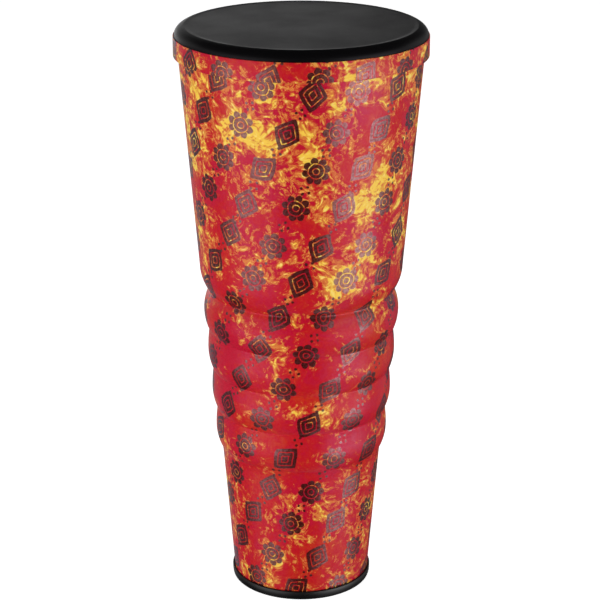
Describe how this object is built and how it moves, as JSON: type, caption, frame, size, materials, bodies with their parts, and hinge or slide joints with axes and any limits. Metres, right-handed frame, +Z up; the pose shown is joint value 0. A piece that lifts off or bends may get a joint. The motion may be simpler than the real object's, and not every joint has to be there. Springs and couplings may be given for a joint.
{
  "type": "timba",
  "caption": "Tall hand drum with a tapering printed body, a ribbed waist, a black synthetic head under a low printed hoop, and an open foot with a rubber ring.",
  "frame": {"origin": "centre of the foot ring's underside, on the surface the drum stands on", "axes": "+Z up along the drum's axis, from the foot to the head; the pictured front faces -Y"},
  "size_m": [0.2596, 0.2596, 0.61],
  "materials": {
    "head_film": "black synthetic head film, satin, with a very fine texture on the flat and a smoother collar",
    "hoop_plastic": "plain moulded plastic, hidden under the head's skirt",
    "band_print": "satin printed film, red with orange and yellow marbling and dark brown figures",
    "edge_plastic": "plain moulded plastic, smooth at the crest",
    "moulded_body": "plain dark moulding, slightly textured inside",
    "body_print": "satin printed film, red with orange and yellow marbling and dark brown figures",
    "foot_rubber": "black rubber with a soft sheen"
  },
  "bodies": {
    "root": {"head_skin": "head_film", "head_hoop": "hoop_plastic", "hoop_wrap": "band_print", "bearing_edge": "edge_plastic", "shell": "moulded_body", "shell_sleeve": "body_print", "foot_ring": "foot_rubber"}
  },
  "joints": []
}
